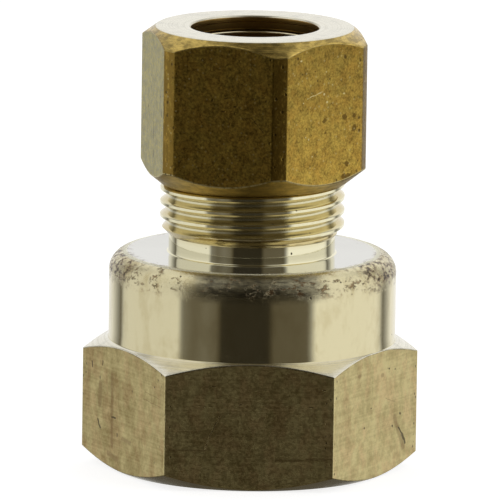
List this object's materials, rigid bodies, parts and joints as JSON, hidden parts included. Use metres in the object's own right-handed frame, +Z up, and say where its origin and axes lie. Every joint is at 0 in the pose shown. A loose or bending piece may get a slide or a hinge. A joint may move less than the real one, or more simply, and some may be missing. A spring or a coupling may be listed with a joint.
{
  "type": "compression adapter",
  "caption": "Brass compression adapter: hexagon body with a female pipe thread below, threaded neck, ferrule and hexagon nut above, joining a threaded pipe to a plain tube.",
  "frame": {"origin": "centre of the foot, where the pipe end's face stands on the ground", "axes": "+Z up along the common axis of body, ferrule and nut, from the pipe end to the tube end; a flat of the body faces -Y"},
  "size_m": [0.026, 0.0226, 0.0344],
  "materials": {
    "body_brass": "turned and polished on the shoulder and neck, drawn bar finish with fine scratches on the flats",
    "nut_brass": "dull drawn bar flats with small dark pits, turned ends",
    "ferrule_brass": "bright turned"
  },
  "bodies": {
    "adapter_body": {"adapter_body": "body_brass"},
    "ferrule": {"ferrule": "ferrule_brass"},
    "compression_nut": {"compression_nut": "nut_brass"}
  },
  "joints": [
    {"name": "ferrule_slide", "type": "slide", "parent": "adapter_body", "child": "ferrule", "axis": [0, 0, 1], "range_m": [-0.00265, 0.00318]},
    {"name": "nut_turn", "type": "hinge", "parent": "ferrule", "child": "compression_nut", "pos_m": [0, 0, 0.0282], "axis": [0, 0, 1], "range_deg": [-900, 1080]}
  ],
  "couplings": [
    {"joint": "ferrule_slide", "follows": "nut_turn", "m_per_rad": 0.00016844}
  ]
}
